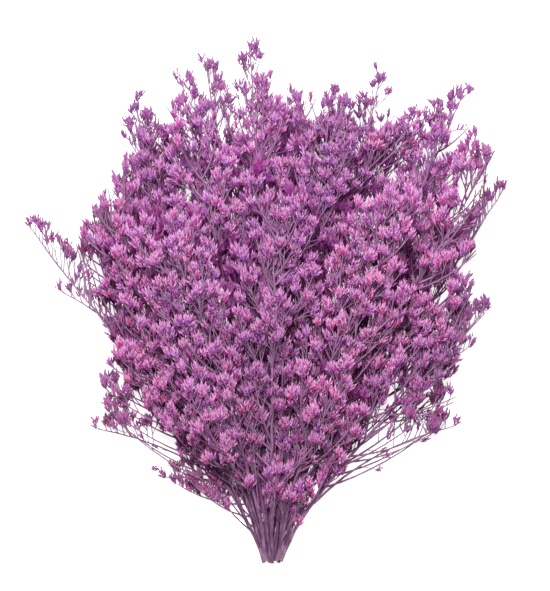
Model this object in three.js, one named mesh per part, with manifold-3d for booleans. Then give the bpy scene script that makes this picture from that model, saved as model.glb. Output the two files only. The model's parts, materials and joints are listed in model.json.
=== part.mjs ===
// A bunch of dried, dyed statice (sea lavender) lying on a flat surface.
//
// Nineteen cut stems lie side by side at the foot, as a hand gathers them, and fan out into a
// flattened crown. Each stem is one spray: it carries side branches, and the branches carry
// stalked flower spikes, which are slim spindles. A spray is one closed solid. Sprays reach in
// among each other and never touch: a branch or spike that would meet another spray turns round
// its own stem until it is clear, or is left off.
//
// Millimetres. +Y runs from the cut ends to the top of the crown, +X across the fan, +Z up from
// the surface at Z = 0. The origin is the middle of the footprint, on the surface.

import * as THREE from "three";
import { mergeVertices } from "three/addons/utils/BufferGeometryUtils.js";
import Module from "manifold-3d";

const wasm = await Module();
wasm.setup();

// --- Driving dimensions ---------------------------------------------------------------------

const CROWN_HEIGHT = 168; // of the flattened crown above the surface
const FOOT_PITCH = 3.25; // between the axes of neighbouring stems at the foot
const FOOT_ROWS = [3, 4, 5, 4, 3]; // stems in each row of the foot, from the surface up
const FOOT_STAGGER = 5; // how far the cut ends lie apart along the bunch

const STEM = { foot: 1.5, tip: 1, sides: 5, lengths: 6 }; // radii at the corners, in mm
const BRANCH = { foot: 1.2, tip: 0.9, sides: 3, lengths: 3 };
const SPIKE = { length: 12.5, radius: 2, belly: 0.42 }; // belly: where along it is fattest
const SIDE_SPIKE = { length: 21, belly: 0.66, angle: 44 }; // with its stalk
const POINT_RADIUS = 0.6; // height at which the point of a lying spike is held
const GAP = 0.45; // least clearance between two twigs
const FOOT_GAP = 0.2; // and between the stems, which are bunched at the foot
const SUNK = 0.45; // share of its radius by which a lying twig is pressed flat

// A stem leaves the foot at a share of its lean, keeps that heading for a share of its reach, and
// sways a little on the way to its tip.
const LEAN_AT_FOOT = 0.5;
const STRAIGHT_SHARE = 0.26;
const SWAY = { at: 0.66, sideways: 7, upwards: 3 };

const BRANCHES_A_SPRAY = 7;
const FIRST_BRANCH = 62; // distance of the lowest branch from the cut ends, in mm
const LAST_BRANCH = 0.95; // and of the highest, as a share of the stem
const BRANCH_LENGTHS = { low: 118, high: 42 }; // the lowest branch of a spray, and the highest
const BRANCH_BEND = { angle: 46, at: 0.45, closing: 0.68 }; // closing: of the angle, at its end
const STRAGGLER_BOW = 0.1; // how far a long low branch bows towards the crown, of its reach
const BRANCH_SPIKES = { count: 4, from: 0.3, to: 0.97 }; // the shares between which they sit
const STEM_SPIKES = { count: 5, from: 0.8, to: 0.97 };
const THINNER = 0.8; // a branch's thickness at its foot, as a share of its stem's there

// How far places (of the way to the next one), turns and angles (degrees) and lengths (a share)
// vary to either side.
const BRANCH_VARIES = { place: 0.25, turn: 15, angle: 6, length: 0.15 };
const SPIKE_VARIES = { place: 0.2, turn: 40, angle: 9, length: 0.16 };

const TURNS_TRIED = 8; // round the parent, before a twig is tried shorter or left off
const SHRINKS = [1, 0.85, 0.7, 0.55]; // the lengths tried for a branch
const FLATTENING = 0.62; // how much less the sprays spread up and down than sideways
const GOLDEN_ANGLE = 137.5;
const FIRST_SEED = 101; // each spray has its own
const FAR = 1000; // beyond the bunch in every direction

// The sprays, row by row from the surface up and from left to right in a row: how far each leans
// from the bunch's axis in degrees, and its tip's distance from the foot and height in mm.
const SPRAYS = [
  [-21, 352, 15],
  [3, 402, 1],
  [25, 350, 15],
  [-28, 330, 34],
  [-7.5, 432, 44],
  [12.5, 428, 44],
  [31.5, 384, 34],
  [-35.5, 362, 62],
  [-16.5, 410, 80],
  [-2.5, 440, 88],
  [22, 434, 80],
  [39.5, 292, 58],
  [-25, 345, 98],
  [-10.5, 420, 112],
  [7, 396, 118],
  [28, 402, 98],
  [-17, 288, 142],
  [1, 306, 156],
  [18, 326, 140],
];

// Long low branches that leave the crown at its sides, each to a tip at the given lean, reach and
// height. "along" is the share of the stem at which the branch leaves it.
const STRAGGLERS = [
  { spray: 3, along: 0.2, lean: -52, reach: 190, height: 22 },
  { spray: 0, along: 0.19, lean: -50, reach: 116, height: 9 },
  { spray: 7, along: 0.42, lean: -37.5, reach: 296, height: 44 },
  { spray: 7, along: 0.28, lean: -42.5, reach: 208, height: 34 },
  { spray: 11, along: 0.23, lean: 52.5, reach: 196, height: 30 },
  { spray: 6, along: 0.3, lean: 42, reach: 232, height: 20 },
];

// The edge of the fan seen from above: how far the crown reaches at each lean.
const CROWN_EDGE = [
  [-90, 40],
  [-58, 120],
  [-50, 196],
  [-42, 218],
  [-37, 232],
  [-34, 282],
  [-31, 328],
  [-22, 358],
  [-16, 402],
  [-10, 414],
  [-5, 392],
  [-1, 422],
  [4, 402],
  [8, 408],
  [13, 394],
  [20, 422],
  [28, 404],
  [31, 350],
  [36, 288],
  [42, 240],
  [50, 206],
  [56, 110],
  [90, 40],
];

// --- Small helpers --------------------------------------------------------------------------

const radians = THREE.MathUtils.degToRad;
const lerp = THREE.MathUtils.lerp;
const UP = new THREE.Vector3(0, 0, 1);

// Repeatable numbers from 0 to 1, the same in every run.
function seededRandom(seed) {
  return () => {
    seed = (seed + 0x6d2b79f5) | 0;
    let t = Math.imul(seed ^ (seed >>> 15), 1 | seed);
    t = (t + Math.imul(t ^ (t >>> 7), 61 | t)) ^ t;
    return ((t ^ (t >>> 14)) >>> 0) / 4294967296;
  };
}

const spread = (random, half) => (2 * random() - 1) * half;

function crownReach(lean) {
  const i = CROWN_EDGE.findIndex(([edge]) => edge > lean);
  if (i <= 0) return CROWN_EDGE[0][1];
  const [[a, ra], [b, rb]] = [CROWN_EDGE[i - 1], CROWN_EDGE[i]];
  return lerp(ra, rb, (lean - a) / (b - a));
}

const fanPoint = (lean, reach, height) =>
  new THREE.Vector3(
    reach * Math.sin(radians(lean)),
    reach * Math.cos(radians(lean)),
    height,
  );

// Lifts a point of an axis so that a twig of that radius lies on the surface, pressed a little flat.
function rest(point, radius) {
  point.z = Math.max(point.z, radius * (1 - SUNK));
  return point;
}

function inCrown(point) {
  const lean = THREE.MathUtils.radToDeg(Math.atan2(point.x, point.y));
  return (
    Math.hypot(point.x, point.y) <= crownReach(lean) && point.z <= CROWN_HEIGHT
  );
}

// --- Clearance between sprays ---------------------------------------------------------------

// Every grown axis as straight lengths: { a, b, radius, twig }.
const grown = [];

function axisDistance(p, q) {
  const d1 = q.b.clone().sub(q.a);
  const d2 = p.b.clone().sub(p.a);
  const r = q.a.clone().sub(p.a);
  const a = d1.dot(d1);
  const e = d2.dot(d2);
  const f = d2.dot(r);
  const c = d1.dot(r);
  const b = d1.dot(d2);
  const denominator = a * e - b * b;
  const clamp = (x) => Math.min(1, Math.max(0, x));
  let s = denominator > 1e-9 ? clamp((b * f - c * e) / denominator) : 0;
  let t = (b * s + f) / e;
  if (t < 0) {
    t = 0;
    s = clamp(-c / a);
  } else if (t > 1) {
    t = 1;
    s = clamp((b - c) / a);
  }
  return r.addScaledVector(d1, s).addScaledVector(d2, -t).length();
}

// The straight lengths of a twig, each with its larger radius. A length that widens much counts as
// two, so that a stalk needs no more room than it takes.
function lengthsOf(twig) {
  const { points, radii } = twig;
  const lengths = [];
  for (let i = 1; i < points.length; i++) {
    const [a, b] = [points[i - 1], points[i]];
    const middle = a.clone().lerp(b, 0.5);
    const middleRadius = (radii[i - 1] + radii[i]) / 2;
    lengths.push({ a, b: middle, radius: Math.max(radii[i - 1], middleRadius), twig });
    lengths.push({ a: middle, b, radius: Math.max(middleRadius, radii[i]), twig });
  }
  return lengths;
}

const isClear = (lengths, parent, gap) =>
  lengths.every((p) =>
    grown.every(
      (q) => q.twig === parent || axisDistance(p, q) > p.radius + q.radius + gap,
    ),
  );

// --- Growing a spray ------------------------------------------------------------------------

// The cut end of each stem: rows of stems that lie in the hollows of the row below.
function footPoints() {
  const points = [];
  FOOT_ROWS.forEach((count, row) => {
    for (let i = 0; i < count; i++) {
      const across = (i - (count - 1) / 2) * FOOT_PITCH;
      const height = STEM.foot * (1 - SUNK) + row * FOOT_PITCH * Math.sin(radians(60));
      points.push(new THREE.Vector3(across, 0, height));
    }
  });
  return points;
}

function stemCurve(foot, { lean, reach, height }, random) {
  const tip = fanPoint(lean, reach, height);
  const climb = (LEAN_AT_FOOT * (height - foot.z)) / reach;
  const heading = fanPoint(LEAN_AT_FOOT * lean, 1, climb);
  const cut = foot.clone().addScaledVector(heading, FOOT_STAGGER * random());
  const first = cut.clone().addScaledVector(heading, STRAIGHT_SHARE * reach);
  const sway = new THREE.Vector3(spread(random, SWAY.sideways), 0, spread(random, SWAY.upwards));
  const second = foot.clone().lerp(tip, SWAY.at).add(sway);
  return new THREE.CubicBezierCurve3(cut, first, second, tip);
}

// Two directions square to an axis: sideways, and upwards from it.
function sidesOf(axis) {
  const side = axis.clone().cross(UP).normalize();
  return [side, side.clone().cross(axis)];
}

// A direction at an angle from the axis, turned round it, with less spread up and down.
function awayFrom(axis, angle, turn) {
  const [side, up] = sidesOf(axis);
  const out = Math.sin(radians(angle));
  return axis
    .clone()
    .multiplyScalar(Math.cos(radians(angle)))
    .addScaledVector(side, out * Math.cos(radians(turn)))
    .addScaledVector(up, out * FLATTENING * Math.sin(radians(turn)))
    .normalize();
}

// A branch leaves the stem steeply and bends up towards the stem's own direction.
function branchCurve(root, axis, angle, turn, length) {
  const leaving = awayFrom(axis, angle, turn);
  const ending = awayFrom(axis, BRANCH_BEND.closing * angle, turn);
  const bend = root.clone().addScaledVector(leaving, BRANCH_BEND.at * length);
  const end = root.clone().addScaledVector(ending, length);
  return new THREE.QuadraticBezierCurve3(root, bend, end);
}

// A twig along a curve, as the points and radii of its straight lengths, with a flower spike, a
// spindle, at its end.
function twigAlong(curve, shape, footRadius) {
  const points = curve.getPoints(shape.lengths);
  for (const point of points.slice(1)) rest(point, footRadius);
  const radii = points.map((_, i) => lerp(footRadius, shape.tip, i / shape.lengths));
  const end = points.at(-1);
  const along = end.clone().sub(points.at(-2)).normalize();
  const belly = end.clone().addScaledVector(along, SPIKE.belly * SPIKE.length);
  const point = end.clone().addScaledVector(along, SPIKE.length);
  points.push(rest(belly, SPIKE.radius), rest(point, POINT_RADIUS));
  radii.push(SPIKE.radius, 0);
  return { points, radii };
}

// The point of a twig's axis at a share of its way to the end spike, and its direction there.
function placeOn({ points }, along) {
  const lengths = points.length - 3;
  const i = Math.min(Math.floor(along * lengths), lengths - 1);
  const point = points[i].clone().lerp(points[i + 1], along * lengths - i);
  return [point, points[i + 1].clone().sub(points[i]).normalize()];
}

// Grows a twig if it is clear of all but its parent, and says whether it was.
function grow(twig, parent, spray, gap = GAP) {
  const lengths = lengthsOf(twig);
  if (!isClear(lengths, parent, gap)) return false;
  grown.push(...lengths);
  spray.twigs.push(twig);
  return true;
}

function growStem(spray, foot) {
  spray.stem = twigAlong(stemCurve(foot, spray, spray.random), STEM, STEM.foot);
  if (!grow(spray.stem, null, spray, FOOT_GAP)) throw new Error("stems meet: " + spray.index);
}

function growStraggler({ along, lean, reach, height }, spray) {
  const [root] = placeOn(spray.stem, along);
  const end = fanPoint(lean, reach, height);
  const sideways = UP.clone().cross(end.clone().sub(root)).normalize();
  const bow = Math.sign(lean) * STRAGGLER_BOW * reach;
  const bend = root.clone().lerp(end, 0.5).addScaledVector(sideways, bow);
  const curve = new THREE.QuadraticBezierCurve3(root, bend, end);
  const twig = twigAlong(curve, { ...BRANCH, lengths: BRANCH.lengths + 1 }, BRANCH.foot);
  if (grow(twig, spray.stem, spray)) spray.branches.push(twig);
}

// Branch number k of a spray. It is tried at turn after turn round the stem, then shorter.
function growBranch(spray, k) {
  const { random, reach } = spray;
  const share = (k + 0.5 + spread(random, BRANCH_VARIES.place)) / BRANCHES_A_SPRAY;
  const wantedTurn = spray.turn + k * GOLDEN_ANGLE + spread(random, BRANCH_VARIES.turn);
  const angle = BRANCH_BEND.angle + spread(random, BRANCH_VARIES.angle);
  const usualLength = lerp(BRANCH_LENGTHS.low, BRANCH_LENGTHS.high, share);
  const wantedLength = usualLength * (1 + spread(random, BRANCH_VARIES.length));
  const along = lerp(FIRST_BRANCH / reach, LAST_BRANCH, share);
  const footRadius = Math.min(BRANCH.foot, THINNER * lerp(STEM.foot, STEM.tip, along));
  const [root, axis] = placeOn(spray.stem, along);
  for (const shrink of SHRINKS) {
    for (let t = 0; t < TURNS_TRIED; t++) {
      const turn = wantedTurn + (t * 360) / TURNS_TRIED;
      const curve = branchCurve(root, axis, angle, turn, wantedLength * shrink);
      const twig = twigAlong(curve, BRANCH, footRadius);
      if (inCrown(twig.points.at(-1)) && grow(twig, spray.stem, spray)) {
        spray.branches.push(twig);
        return;
      }
    }
  }
}

// Side spike number k of a twig: a fine stalk that widens into a spindle.
function growSideSpike(spray, parent, k, { count, from, to }) {
  const { random } = spray;
  const along = lerp(from, to, (k + 0.5 + spread(random, SPIKE_VARIES.place)) / count);
  const wantedTurn = k * GOLDEN_ANGLE + spread(random, SPIKE_VARIES.turn);
  const angle = SIDE_SPIKE.angle + spread(random, SPIKE_VARIES.angle);
  const length = SIDE_SPIKE.length * (1 + spread(random, SPIKE_VARIES.length));
  const [root, axis] = placeOn(parent, along);
  for (let t = 0; t < TURNS_TRIED; t++) {
    const away = awayFrom(axis, angle, wantedTurn + (t * 360) / TURNS_TRIED);
    const belly = root.clone().addScaledVector(away, SIDE_SPIKE.belly * length);
    const tip = root.clone().addScaledVector(away, length);
    const points = [root, rest(belly, SPIKE.radius), rest(tip, POINT_RADIUS)];
    const twig = { points, radii: [0, SPIKE.radius, 0] };
    if (inCrown(tip) && grow(twig, parent, spray)) return;
  }
}

// All sprays grow together, stems first, so that each finds its share of the room.
function growSprays() {
  const feet = footPoints();
  const sprays = SPRAYS.map(([lean, reach, height], index) => {
    const random = seededRandom(FIRST_SEED + index);
    const turn = 360 * random();
    return { lean, reach, height, index, random, turn, branches: [], twigs: [] };
  });
  for (const spray of sprays) growStem(spray, feet[spray.index]);
  for (const straggler of STRAGGLERS) growStraggler(straggler, sprays[straggler.spray]);
  for (let k = 0; k < BRANCHES_A_SPRAY; k++) {
    for (const spray of sprays) growBranch(spray, k);
  }
  for (let k = 0; k < STEM_SPIKES.count; k++) {
    for (const spray of sprays) growSideSpike(spray, spray.stem, k, STEM_SPIKES);
  }
  for (let k = 0; k < BRANCH_SPIKES.count; k++) {
    for (const spray of sprays) {
      for (const branch of spray.branches) growSideSpike(spray, branch, k, BRANCH_SPIKES);
    }
  }
  return sprays;
}

// --- Solids ---------------------------------------------------------------------------------

// A closed twig round an axis: a ring of corners at each point, or a single point where the
// radius is 0. Each ring is square to the mean of the two lengths that meet there.
function twigGeometry({ points, radii }, sides) {
  const positions = [];
  const last = points.length - 1;
  const tangentAt = (i) =>
    points[Math.min(i + 1, last)]
      .clone()
      .sub(points[Math.max(i - 1, 0)])
      .normalize();
  const across = sidesOf(tangentAt(0))[0];
  const rings = points.map((point, i) => {
    const tangent = tangentAt(i);
    across.addScaledVector(tangent, -across.dot(tangent)).normalize();
    const third = tangent.clone().cross(across);
    const corners = radii[i] > 0 ? sides : 1;
    return Array.from({ length: corners }, (_, c) => {
      const turn = (2 * Math.PI * c) / sides;
      const corner = point
        .clone()
        .addScaledVector(across, radii[i] * Math.cos(turn))
        .addScaledVector(third, radii[i] * Math.sin(turn));
      return positions.push(...corner) / 3 - 1;
    });
  });
  const faces = [];
  for (let c = 2; c < rings[0].length; c++) faces.push(rings[0][0], rings[0][c], rings[0][c - 1]);
  for (let i = 0; i < last; i++) {
    const [low, high] = [rings[i], rings[i + 1]];
    for (let c = 0; c < sides; c++) {
      const next = (c + 1) % sides;
      if (low.length > 1) faces.push(low[c], low[next], high[next % high.length]);
      if (high.length > 1) faces.push(low[c % low.length], high[next], high[c]);
    }
  }
  return new THREE.BufferGeometry()
    .setAttribute("position", new THREE.Float32BufferAttribute(positions, 3))
    .setIndex(faces);
}

function solidOf(geometry) {
  return new wasm.Manifold(
    new wasm.Mesh({
      numProp: 3,
      vertProperties: new Float32Array(geometry.attributes.position.array),
      triVerts: new Uint32Array(geometry.index.array),
    }),
  );
}

function geometryOf(solid) {
  const { vertProperties, triVerts } = solid.getMesh();
  return new THREE.BufferGeometry()
    .setAttribute("position", new THREE.BufferAttribute(vertProperties, 3))
    .setIndex(new THREE.BufferAttribute(triVerts, 1));
}

// All that lies below the surface, which presses the lowest twigs flat.
function underSurface() {
  const box = new THREE.BoxGeometry(2 * FAR, 2 * FAR, FAR).translate(0, 0, -FAR / 2);
  box.deleteAttribute("normal").deleteAttribute("uv");
  return solidOf(mergeVertices(box));
}

function sprayGeometry(spray, below) {
  let solid = solidOf(twigGeometry(spray.stem, STEM.sides));
  for (const twig of spray.twigs.slice(1)) {
    solid = solid.add(solidOf(twigGeometry(twig, BRANCH.sides)));
  }
  return geometryOf(solid.subtract(below));
}

// --- The bunch ------------------------------------------------------------------------------

const DYES = ["#b0559c", "#a855a6", "#8e3f86"]; // pink, orchid and plum

const bunch = new THREE.Group();
const below = underSurface();
for (const spray of growSprays()) {
  const mesh = new THREE.Mesh(
    sprayGeometry(spray, below),
    new THREE.MeshStandardMaterial({
      color: DYES[spray.index % DYES.length],
      roughness: 0.85,
      metalness: 0,
    }),
  );
  mesh.name = "spray_" + String(spray.index + 1).padStart(2, "0");
  bunch.add(mesh);
}

// The middle of the footprint becomes the origin.
const middle = new THREE.Box3().setFromObject(bunch).getCenter(new THREE.Vector3());
bunch.position.set(-middle.x, -middle.y, 0);

export default bunch;
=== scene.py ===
# %% [markdown]
# # A bunch of dried, dyed statice
#
# Statice, also called sea lavender, is cut in flower, hung up until it is dry and then dyed. What
# the eye sees is a cloud of thousands of papery flower spikes on wiry stalks. Nineteen sprays lie
# here on a table, gathered at their cut ends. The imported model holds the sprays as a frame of
# plain tapers. This script grows the same sprays again by the same rule, so that every branch is
# where the frame has it, and then goes on where the frame stops, down to the last calyx.

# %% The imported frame
import json
import math
import random

import bpy
import numpy as np
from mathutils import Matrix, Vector

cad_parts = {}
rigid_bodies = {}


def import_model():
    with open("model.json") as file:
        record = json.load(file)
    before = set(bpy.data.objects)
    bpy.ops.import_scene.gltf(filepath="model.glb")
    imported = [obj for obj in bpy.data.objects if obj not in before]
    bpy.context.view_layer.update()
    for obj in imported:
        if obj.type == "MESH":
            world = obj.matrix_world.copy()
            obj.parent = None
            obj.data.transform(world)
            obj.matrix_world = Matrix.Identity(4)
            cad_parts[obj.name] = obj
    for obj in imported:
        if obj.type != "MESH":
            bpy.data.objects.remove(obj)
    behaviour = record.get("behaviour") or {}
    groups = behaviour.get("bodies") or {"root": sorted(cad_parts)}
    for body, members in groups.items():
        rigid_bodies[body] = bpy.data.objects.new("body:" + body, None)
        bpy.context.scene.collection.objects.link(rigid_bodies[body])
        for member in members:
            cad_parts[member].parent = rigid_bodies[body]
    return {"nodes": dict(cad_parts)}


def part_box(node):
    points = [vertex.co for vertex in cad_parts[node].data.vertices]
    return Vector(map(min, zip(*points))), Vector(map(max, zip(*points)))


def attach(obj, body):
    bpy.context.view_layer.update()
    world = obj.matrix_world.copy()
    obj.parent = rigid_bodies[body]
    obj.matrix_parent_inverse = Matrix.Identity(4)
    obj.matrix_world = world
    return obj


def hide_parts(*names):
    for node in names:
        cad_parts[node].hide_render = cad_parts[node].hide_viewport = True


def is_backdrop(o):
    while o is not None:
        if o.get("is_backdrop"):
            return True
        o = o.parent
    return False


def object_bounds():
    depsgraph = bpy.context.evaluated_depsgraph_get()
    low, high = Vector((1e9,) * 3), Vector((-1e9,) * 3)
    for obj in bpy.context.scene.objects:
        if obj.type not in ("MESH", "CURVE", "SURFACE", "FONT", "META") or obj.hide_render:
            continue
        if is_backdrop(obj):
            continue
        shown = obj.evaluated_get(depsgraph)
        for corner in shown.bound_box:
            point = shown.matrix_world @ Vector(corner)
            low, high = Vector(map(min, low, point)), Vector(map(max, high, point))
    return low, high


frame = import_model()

CAD_LOW, CAD_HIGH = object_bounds()
MM = 0.001  # Blender works in metres, and the sizes below are millimetres
print("frame:", len(frame["nodes"]), "sprays,", [round(v / MM) for v in CAD_HIGH - CAD_LOW], "mm")

# %% [markdown]
# ## The rule of growth
#
# The frame could be read back from its meshes, but a mesh of tapers no longer says which twig
# bears which. Growing the sprays again from the same sizes and the same random numbers gives the
# axes themselves, and finer twigs can then be set on them.

# %% Sizes of the frame, in millimetres and degrees
CROWN_HEIGHT = 168
FOOT_PITCH = 3.25
FOOT_ROWS = [3, 4, 5, 4, 3]
FOOT_STAGGER = 5
STEM = {"foot": 1.5, "tip": 1, "lengths": 6}  # radii, and straight lengths along it
BRANCH = {"foot": 1.2, "tip": 0.9, "lengths": 3}
SPIKE = {"length": 12.5, "radius": 2, "belly": 0.42}
SIDE_SPIKE = {"length": 21, "belly": 0.66, "angle": 44}
POINT_RADIUS = 0.6
GAP = 0.45  # kept free between twigs
FOOT_GAP = 0.2  # the same between the main stems
SUNK = 0.45  # share of its radius by which a twig is pressed on the surface
LEAN_AT_FOOT = 0.5  # share of its lean with which a stem leaves the foot
STRAIGHT_SHARE = 0.26
SWAY = {"at": 0.66, "sideways": 7, "upwards": 3}
BRANCHES_A_SPRAY = 7
FIRST_BRANCH = 62
LAST_BRANCH = 0.95
BRANCH_LENGTHS = {"low": 118, "high": 42}
BRANCH_BEND = {"angle": 46, "at": 0.45, "closing": 0.68}
STRAGGLER_BOW = 0.1
BRANCH_SPIKES = {"count": 4, "from": 0.3, "to": 0.97}
STEM_SPIKES = {"count": 5, "from": 0.8, "to": 0.97}
THINNER = 0.8  # a branch's foot against the stem that bears it
BRANCH_VARIES = {"place": 0.25, "turn": 15, "angle": 6, "length": 0.15}
SPIKE_VARIES = {"place": 0.2, "turn": 40, "angle": 9, "length": 0.16}
TURNS_TRIED = 8
SHRINKS = [1, 0.85, 0.7, 0.55]
FLATTENING = 0.62  # branches spread less upwards than sideways
GOLDEN_ANGLE = 137.5
FIRST_SEED = 101

# The sprays: lean in degrees, reach and tip height in mm.
SPRAYS = [
    (-21, 352, 15), (3, 402, 1), (25, 350, 15),
    (-28, 330, 34), (-7.5, 432, 44), (12.5, 428, 44), (31.5, 384, 34),
    (-35.5, 362, 62), (-16.5, 410, 80), (-2.5, 440, 88), (22, 434, 80), (39.5, 292, 58),
    (-25, 345, 98), (-10.5, 420, 112), (7, 396, 118), (28, 402, 98),
    (-17, 288, 142), (1, 306, 156), (18, 326, 140),
]
# Long low branches: spray, share of its stem, lean, reach and height.
STRAGGLERS = [
    (3, 0.2, -52, 190, 22),
    (0, 0.19, -50, 116, 9),
    (7, 0.42, -37.5, 296, 44),
    (7, 0.28, -42.5, 208, 34),
    (11, 0.23, 52.5, 196, 30),
    (6, 0.3, 42, 232, 20),
]
# The crown's edge seen from above: reach at each lean.
CROWN_EDGE = [
    (-90, 40), (-58, 120), (-50, 196), (-42, 218), (-37, 232), (-34, 282), (-31, 328),
    (-22, 358), (-16, 402), (-10, 414), (-5, 392), (-1, 422), (4, 402), (8, 408),
    (13, 394), (20, 422), (28, 404), (31, 350), (36, 288), (42, 240), (50, 206),
    (56, 110), (90, 40),
]
print(len(SPRAYS), "sprays and", len(STRAGGLERS), "low branches to grow")

# %% Random numbers, and points of the fan
MASK = 0xFFFFFFFF
UP = np.array([0.0, 0.0, 1.0])


def seeded_random(seed):
    """Repeatable numbers from 0 to 1, the same that the frame was grown with."""
    state = [seed]

    def draw():
        state[0] = (state[0] + 0x6D2B79F5) & MASK
        s = state[0]
        t = ((s ^ (s >> 15)) * (1 | s)) & MASK
        t = ((t + (t ^ (t >> 7)) * (61 | t)) & MASK) ^ t
        return (t ^ (t >> 14)) / (MASK + 1)

    return draw


def spread(draw, half):
    return (2 * draw() - 1) * half


def lerp(a, b, t):
    return a + (b - a) * t


def unit(v):
    return v / math.sqrt(float(v @ v))


def fan_point(lean, reach, height):
    lean = math.radians(lean)
    return np.array([reach * math.sin(lean), reach * math.cos(lean), height])


def rest(point, radius):
    """Lifts a point so that a twig of that radius lies on the surface, pressed a little flat."""
    point[2] = max(point[2], radius * (1 - SUNK))
    return point


def lean_and_reach(point):
    return math.degrees(math.atan2(point[0], point[1])), math.hypot(point[0], point[1])


def edge_at(lean):
    return np.interp(lean, *zip(*CROWN_EDGE))


def in_crown(point, room=0.0):
    lean, reach = lean_and_reach(point)
    return reach <= edge_at(lean) + room and point[2] <= CROWN_HEIGHT + room


print("first random number:", round(seeded_random(FIRST_SEED)(), 6))

# %% [markdown]
# Real twigs press past each other. In the frame each twig is a capsule, a rod with round ends,
# and it is only kept where it stays clear of all the others. Blender could test meshes for
# overlap, but the distance between two straight rods is one short formula, and numpy works it out
# for thousands of pairs at once.

# %% Clearance between twigs
MOST_LENGTHS = 9000
grown = {
    "a": np.zeros((MOST_LENGTHS, 3)),
    "b": np.zeros((MOST_LENGTHS, 3)),
    "radius": np.zeros(MOST_LENGTHS),
    "twig": np.zeros(MOST_LENGTHS, int),
    "count": 0,
}


def lengths_of(twig):
    """Starts, ends and radii of a twig's straight lengths, each in two halves."""
    points, radii = twig["points"], twig["radii"]
    middles = points[:-1] + (points[1:] - points[:-1]) * 0.5
    middle_radii = (radii[:-1] + radii[1:]) / 2
    a = np.stack([points[:-1], middles], 1).reshape(-1, 3)
    b = np.stack([middles, points[1:]], 1).reshape(-1, 3)
    first = np.maximum(radii[:-1], middle_radii)
    second = np.maximum(middle_radii, radii[1:])
    return a, b, np.stack([first, second], 1).reshape(-1)


def axis_distances(pa, pb, qa, qb):
    """The least distance of each length p to each length q."""
    d1 = (qb - qa)[None]
    d2 = (pb - pa)[:, None]
    r = qa[None] - pa[:, None]
    a = (d1 * d1).sum(-1)
    e = (d2 * d2).sum(-1)
    f = (d2 * r).sum(-1)
    c = (d1 * r).sum(-1)
    b = (d1 * d2).sum(-1)
    denominator = a * e - b * b
    level = denominator > 1e-9
    s = np.where(level, np.clip((b * f - c * e) / np.where(level, denominator, 1), 0, 1), 0)
    t = (b * s + f) / e
    s = np.where(t < 0, np.clip(-c / a, 0, 1), np.where(t > 1, np.clip((b - c) / a, 0, 1), s))
    t = np.clip(t, 0, 1)
    gap = r + d1 * s[..., None] - d2 * t[..., None]
    return np.sqrt((gap * gap).sum(-1))


def grow(twig, parent, spray, gap=GAP):
    """Keeps a twig if it is clear of all but its parent."""
    a, b, radius = lengths_of(twig)
    n = grown["count"]
    near = np.flatnonzero(grown["twig"][:n] != (parent["id"] if parent else -1))
    if len(near):
        distance = axis_distances(a, b, grown["a"][near], grown["b"][near])
        if (distance <= radius[:, None] + grown["radius"][near][None] + gap).any():
            return False
    twig["id"] = n
    m = n + len(a)
    grown["a"][n:m], grown["b"][n:m], grown["radius"][n:m], grown["twig"][n:m] = a, b, radius, n
    grown["count"] = m
    spray["twigs"].append(twig)
    return True


print("room for", MOST_LENGTHS, "straight lengths")

# %% Curves and twigs of the frame
def bezier(*controls):
    """The curve of that many control points, as a function of the share of its way."""
    def at(t):
        points = [np.asarray(c, float) for c in controls]
        while len(points) > 1:
            points = [lerp(p, q, t) for p, q in zip(points, points[1:])]
        return points[0]

    return at


def foot_points():
    points = []
    for row, count in enumerate(FOOT_ROWS):
        height = STEM["foot"] * (1 - SUNK) + row * FOOT_PITCH * math.sin(math.radians(60))
        for i in range(count):
            points.append(np.array([(i - (count - 1) / 2) * FOOT_PITCH, 0, height]))
    return points


def stem_curve(foot, spray):
    lean, reach, height = spray["shape"]
    draw = spray["draw"]
    tip = fan_point(lean, reach, height)
    climb = LEAN_AT_FOOT * (height - foot[2]) / reach
    heading = fan_point(LEAN_AT_FOOT * lean, 1, climb)
    cut = foot + heading * (FOOT_STAGGER * draw())
    first = cut + heading * (STRAIGHT_SHARE * reach)
    sway = np.array([spread(draw, SWAY["sideways"]), 0, 0])
    sway[2] = spread(draw, SWAY["upwards"])
    second = lerp(foot, tip, SWAY["at"]) + sway
    return bezier(cut, first, second, tip)


def away_from(axis, angle, turn, flattening=FLATTENING):
    """A direction at an angle from the axis, turned round it, with less spread up and down."""
    side = unit(np.cross(axis, UP))
    up = np.cross(side, axis)
    angle, turn = math.radians(angle), math.radians(turn)
    out = side * math.cos(turn) + up * (flattening * math.sin(turn))
    return unit(axis * math.cos(angle) + out * math.sin(angle))


def branch_curve(root, axis, angle, turn, length):
    leaving = away_from(axis, angle, turn)
    ending = away_from(axis, BRANCH_BEND["closing"] * angle, turn)
    return bezier(root, root + leaving * (BRANCH_BEND["at"] * length), root + ending * length)


def twig_along(curve, shape, foot_radius):
    n = shape["lengths"]
    points = [curve(i / n) for i in range(n + 1)]
    for point in points[1:]:
        rest(point, foot_radius)
    radii = [lerp(foot_radius, shape["tip"], i / n) for i in range(n + 1)]
    along = unit(points[-1] - points[-2])
    belly = points[-1] + along * (SPIKE["belly"] * SPIKE["length"])
    tip = points[-1] + along * SPIKE["length"]
    points += [rest(belly, SPIKE["radius"]), rest(tip, POINT_RADIUS)]
    radii += [SPIKE["radius"], 0]
    return {"points": np.array(points), "radii": np.array(radii, float), "curve": curve}


def place_on(twig, along):
    points = twig["points"]
    lengths = len(points) - 3
    i = min(int(along * lengths), lengths - 1)
    return lerp(points[i], points[i + 1], along * lengths - i), unit(points[i + 1] - points[i])


print("cut ends at the foot:", len(foot_points()))

# %% [markdown]
# The sprays grow in turns: first all main stems, then the low branches at the sides, and then one
# branch of each spray after the other, so that no spray takes all the room.

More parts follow.
